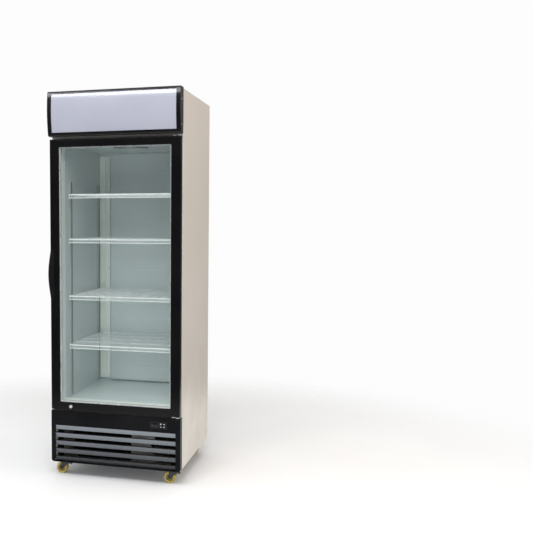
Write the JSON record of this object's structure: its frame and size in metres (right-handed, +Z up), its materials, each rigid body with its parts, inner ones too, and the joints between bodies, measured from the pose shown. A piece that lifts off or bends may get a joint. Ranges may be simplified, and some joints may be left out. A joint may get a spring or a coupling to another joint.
{
  "type": "glass door merchandiser",
  "caption": "Upright display refrigerator with a hinged glass door, lit sign box, wire shelves, louvred base and casters.",
  "frame": {"origin": "on the floor, under the middle of the object left to right and front to back", "axes": "+Z up, -Y towards the person at the door, +X to that person's right"},
  "size_m": [0.7094, 0.7221, 2.006],
  "materials": {
    "white_paint": "gloss",
    "liner_white": "satin",
    "strip_white": "satin",
    "foam": "matte",
    "lamp_lens": "satin",
    "pilaster_metal": "satin",
    "shelf_coating": "gloss",
    "fin_aluminium": "satin",
    "motor_black": "satin",
    "fan_plastic": "satin",
    "black_plastic": "gloss",
    "sign_white": "satin",
    "lamp_tube": "satin",
    "louver_grey": "gloss",
    "galvanised": "satin",
    "compressor_black": "satin",
    "tray_plastic": "satin",
    "copper": "satin",
    "box_grey": "satin",
    "zinc_plate": "satin",
    "frame_black": "gloss",
    "pane": "gloss",
    "spacer_bright": "satin",
    "gasket_black": "matte",
    "bush_nylon": "satin",
    "lock_chrome": "polished",
    "caster_black": "satin",
    "tread_yellow": "satin",
    "key_black": "satin"
  },
  "bodies": {
    "cabinet": {"side_panels": "white_paint", "top_panel": "white_paint", "back_panel": "white_paint", "front_rails": "white_paint", "breaker_strip": "strip_white", "foam_body": "foam", "inner_liner": "liner_white", "duct_panel": "liner_white", "ceiling_panel": "liner_white", "lamp_channels": "strip_white", "lamp_lenses": "lamp_lens", "shelf_pilasters": "pilaster_metal", "shelf_clips": "zinc_plate", "evaporator_coil": "fin_aluminium", "fan_motors": "motor_black", "header_rails": "black_plastic", "header_end_caps": "black_plastic", "sign_lens": "sign_white", "header_lamps": "lamp_tube", "grille_panel": "black_plastic", "grille_louvers": "louver_grey", "controller_bezel": "key_black", "machine_base": "galvanised", "compressor": "compressor_black", "condenser_coil": "fin_aluminium", "drip_tray": "tray_plastic", "refrigerant_lines": "copper", "control_box": "box_grey", "power_inlet": "tray_plastic", "rear_guard": "galvanised", "hinge_brackets": "zinc_plate", "caster_plates": "zinc_plate", "fasteners": "zinc_plate"},
    "door": {"door_frame": "frame_black", "door_glass": "pane", "glass_spacer": "spacer_bright", "door_gasket": "gasket_black", "door_handle": "black_plastic", "hinge_bushes": "bush_nylon"},
    "door_lock": {"lock_cylinder": "lock_chrome"},
    "shelf_1": {"shelf_1": "shelf_coating"},
    "shelf_2": {"shelf_2": "shelf_coating"},
    "shelf_3": {"shelf_3": "shelf_coating"},
    "shelf_4": {"shelf_4": "shelf_coating"},
    "evaporator_fan": {"evaporator_fan": "fan_plastic"},
    "condenser_fan": {"condenser_fan": "fan_plastic"},
    "fork_fl": {"caster_fork_fl": "caster_black"},
    "wheel_fl": {"caster_wheel_fl": "tread_yellow"},
    "fork_fr": {"caster_fork_fr": "caster_black"},
    "wheel_fr": {"caster_wheel_fr": "tread_yellow"},
    "fork_rl": {"caster_fork_rl": "caster_black"},
    "wheel_rl": {"caster_wheel_rl": "tread_yellow"},
    "fork_rr": {"caster_fork_rr": "caster_black"},
    "wheel_rr": {"caster_wheel_rr": "tread_yellow"},
    "brake_fl": {"caster_brake_fl": "caster_black"},
    "brake_fr": {"caster_brake_fr": "caster_black"},
    "key_set": {"key_set": "key_black"},
    "key_up": {"key_up": "key_black"},
    "key_down": {"key_down": "key_black"},
    "key_defrost": {"key_defrost": "key_black"}
  },
  "joints": [
    {"name": "door_hinge", "type": "hinge", "parent": "cabinet", "child": "door", "pos_m": [0.333, -0.325, 0.363], "axis": [0, 0, 1], "range_deg": [0, 120]},
    {"name": "lock_turn", "type": "hinge", "parent": "door", "child": "door_lock", "pos_m": [-0.238, -0.336, 0.382], "axis": [0, -1, 0], "range_deg": [0, 90]},
    {"name": "shelf_1_lift", "type": "slide", "parent": "cabinet", "child": "shelf_1", "axis": [0, 0, 1], "range_m": [0, 0.025]},
    {"name": "shelf_2_lift", "type": "slide", "parent": "cabinet", "child": "shelf_2", "axis": [0, 0, 1], "range_m": [0, 0.025]},
    {"name": "shelf_3_lift", "type": "slide", "parent": "cabinet", "child": "shelf_3", "axis": [0, 0, 1], "range_m": [0, 0.025]},
    {"name": "shelf_4_lift", "type": "slide", "parent": "cabinet", "child": "shelf_4", "axis": [0, 0, 1], "range_m": [0, 0.025]},
    {"name": "evaporator_fan_spin", "type": "hinge", "parent": "cabinet", "child": "evaporator_fan", "pos_m": [0, -0.035, 1.763], "axis": [0, 0, 1], "continuous": true},
    {"name": "condenser_fan_spin", "type": "hinge", "parent": "cabinet", "child": "condenser_fan", "pos_m": [-0.095, -0.197, 0.218], "axis": [0, 1, 0], "continuous": true},
    {"name": "swivel_fl", "type": "hinge", "parent": "cabinet", "child": "fork_fl", "pos_m": [-0.298, -0.253, 0.07], "axis": [0, 0, 1], "continuous": true},
    {"name": "roll_fl", "type": "hinge", "parent": "fork_fl", "child": "wheel_fl", "pos_m": [-0.318, -0.253, 0.03], "axis": [0, 1, 0], "continuous": true},
    {"name": "brake_fl_press", "type": "hinge", "parent": "fork_fl", "child": "brake_fl", "pos_m": [-0.284, -0.253, 0.056], "axis": [0, 1, 0], "range_deg": [0, 14]},
    {"name": "swivel_fr", "type": "hinge", "parent": "cabinet", "child": "fork_fr", "pos_m": [0.298, -0.253, 0.07], "axis": [0, 0, 1], "continuous": true},
    {"name": "roll_fr", "type": "hinge", "parent": "fork_fr", "child": "wheel_fr", "pos_m": [0.278, -0.253, 0.03], "axis": [0, 1, 0], "continuous": true},
    {"name": "brake_fr_press", "type": "hinge", "parent": "fork_fr", "child": "brake_fr", "pos_m": [0.312, -0.253, 0.056], "axis": [0, 1, 0], "range_deg": [0, 14]},
    {"name": "swivel_rl", "type": "hinge", "parent": "cabinet", "child": "fork_rl", "pos_m": [-0.298, 0.309, 0.07], "axis": [0, 0, 1], "continuous": true},
    {"name": "roll_rl", "type": "hinge", "parent": "fork_rl", "child": "wheel_rl", "pos_m": [-0.318, 0.309, 0.03], "axis": [0, 1, 0], "continuous": true},
    {"name": "swivel_rr", "type": "hinge", "parent": "cabinet", "child": "fork_rr", "pos_m": [0.298, 0.309, 0.07], "axis": [0, 0, 1], "continuous": true},
    {"name": "roll_rr", "type": "hinge", "parent": "fork_rr", "child": "wheel_rr", "pos_m": [0.278, 0.309, 0.03], "axis": [0, 1, 0], "continuous": true},
    {"name": "key_set_press", "type": "slide", "parent": "cabinet", "child": "key_set", "axis": [0, 1, 0], "range_m": [0, 0.001], "stiffness_N_per_m": 300},
    {"name": "key_up_press", "type": "slide", "parent": "cabinet", "child": "key_up", "axis": [0, 1, 0], "range_m": [0, 0.001], "stiffness_N_per_m": 300},
    {"name": "key_down_press", "type": "slide", "parent": "cabinet", "child": "key_down", "axis": [0, 1, 0], "range_m": [0, 0.001], "stiffness_N_per_m": 300},
    {"name": "key_defrost_press", "type": "slide", "parent": "cabinet", "child": "key_defrost", "axis": [0, 1, 0], "range_m": [0, 0.001], "stiffness_N_per_m": 300}
  ]
}
